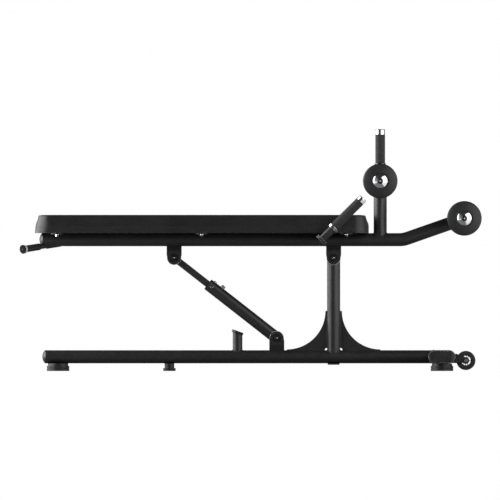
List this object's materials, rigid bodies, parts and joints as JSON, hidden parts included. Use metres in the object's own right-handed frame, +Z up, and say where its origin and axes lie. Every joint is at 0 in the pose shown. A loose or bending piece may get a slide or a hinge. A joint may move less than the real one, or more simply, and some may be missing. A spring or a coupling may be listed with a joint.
{
  "type": "adjustable abdominal bench",
  "caption": "Abdominal bench with a long padded top that tilts from level to decline on a pinned telescopic strut, foam leg rollers, side handles and transport wheels.",
  "frame": {"origin": "on the floor, in the middle of the length and width", "axes": "+X along the bench towards the foot rollers, +Y across it, +Z up"},
  "size_m": [1.756, 0.6378, 0.919],
  "materials": {
    "frame_paint": "satin",
    "bare_steel": "satin",
    "bolt_steel": "satin",
    "chrome_trim": "polished",
    "cap_plastic": "satin",
    "sole_rubber": "matte",
    "grip_rubber": "matte",
    "wheel_plastic": "satin",
    "pad_board": "matte",
    "pad_vinyl": "satin",
    "roller_vinyl": "satin",
    "sleeve_plastic": "satin"
  },
  "bodies": {
    "base": {"base_beam": "frame_paint", "beam_end_caps": "cap_plastic", "rear_crossbar": "frame_paint", "crossbar_end_caps": "cap_plastic", "upright_post": "frame_paint", "post_bush": "bare_steel", "post_foot_plate": "frame_paint", "front_gusset": "frame_paint", "rear_gusset": "frame_paint", "strut_lower_bracket": "frame_paint", "strut_lower_bolt": "bolt_steel", "strut_lower_washers": "chrome_trim", "rest_stop_post": "frame_paint", "rest_stop_pad": "sole_rubber", "foot_mounts": "cap_plastic", "foot_soles": "sole_rubber", "wheel_brackets": "frame_paint", "wheel_bolts": "bolt_steel"},
    "bench": {"bench_beam": "frame_paint", "bench_end_cap": "cap_plastic", "main_bracket": "frame_paint", "strut_upper_bracket": "frame_paint", "bench_bolts": "bolt_steel", "bench_washers": "chrome_trim", "pad_wings": "frame_paint", "pad_bolts": "chrome_trim", "pad_board": "pad_board", "pad_cushion": "pad_vinyl", "knee_post": "frame_paint", "post_grip": "grip_rubber", "post_grip_cap": "chrome_trim", "handle_cross_tube": "frame_paint", "side_handle_tubes": "frame_paint", "handle_flanges": "cap_plastic", "chrome_collars": "chrome_trim", "side_handle_grips": "grip_rubber", "side_handle_caps": "chrome_trim", "lift_handle": "frame_paint", "lift_handle_grips": "grip_rubber", "lift_handle_rings": "chrome_trim", "lift_handle_knobs": "cap_plastic", "roller_axles": "bare_steel", "roller_discs": "chrome_trim", "roller_disc_bolts": "cap_plastic"},
    "strut_outer": {"strut_outer_tube": "frame_paint", "strut_guide": "cap_plastic", "strut_screws": "chrome_trim", "lock_housing": "chrome_trim"},
    "strut_inner": {"strut_inner_tube": "frame_paint"},
    "lock_pin": {"lock_pin": "chrome_trim"},
    "knee_roller_left": {"knee_foam_left": "roller_vinyl", "knee_sleeve_left": "sleeve_plastic"},
    "knee_roller_right": {"knee_foam_right": "roller_vinyl", "knee_sleeve_right": "sleeve_plastic"},
    "foot_roller_left": {"foot_foam_left": "roller_vinyl", "foot_sleeve_left": "sleeve_plastic"},
    "foot_roller_right": {"foot_foam_right": "roller_vinyl", "foot_sleeve_right": "sleeve_plastic"},
    "wheel_left": {"wheel_left": "wheel_plastic"},
    "wheel_right": {"wheel_right": "wheel_plastic"}
  },
  "joints": [
    {"name": "tilt", "type": "hinge", "parent": "base", "child": "bench", "pos_m": [0.314, 0, 0.43], "axis": [0, -1, 0], "range_deg": [0, 17.5]},
    {"name": "strut_swing", "type": "hinge", "parent": "base", "child": "strut_outer", "pos_m": [0.098, 0, 0.125], "axis": [0, -1, 0], "range_deg": [0, 18.8]},
    {"name": "strut_slide", "type": "slide", "parent": "strut_outer", "child": "strut_inner", "axis": [-0.7877, 0, 0.616], "range_m": [-0.1137, 0]},
    {"name": "lock_slide", "type": "slide", "parent": "strut_outer", "child": "lock_pin", "axis": [0, 1, 0], "range_m": [-0.009, 0], "stiffness_N_per_m": 300, "springref_m": -0.009},
    {"name": "knee_spin_left", "type": "hinge", "parent": "bench", "child": "knee_roller_left", "pos_m": [0.491, 0.1215, 0.722], "axis": [0, 1, 0], "continuous": true},
    {"name": "knee_spin_right", "type": "hinge", "parent": "bench", "child": "knee_roller_right", "pos_m": [0.491, -0.1215, 0.722], "axis": [0, 1, 0], "continuous": true},
    {"name": "foot_spin_left", "type": "hinge", "parent": "bench", "child": "foot_roller_left", "pos_m": [0.81073, 0.1215, 0.57998], "axis": [0, 1, 0], "continuous": true},
    {"name": "foot_spin_right", "type": "hinge", "parent": "bench", "child": "foot_roller_right", "pos_m": [0.81073, -0.1215, 0.57998], "axis": [0, 1, 0], "continuous": true},
    {"name": "wheel_spin_left", "type": "hinge", "parent": "base", "child": "wheel_left", "pos_m": [0.8165, 0.24, 0.04], "axis": [0, 1, 0], "continuous": true},
    {"name": "wheel_spin_right", "type": "hinge", "parent": "base", "child": "wheel_right", "pos_m": [0.8165, -0.24, 0.04], "axis": [0, 1, 0], "continuous": true}
  ],
  "couplings": [
    {"joint": "strut_swing", "follows": "tilt", "ratio": 1.074},
    {"joint": "strut_slide", "follows": "tilt", "m_per_rad": -0.372}
  ]
}
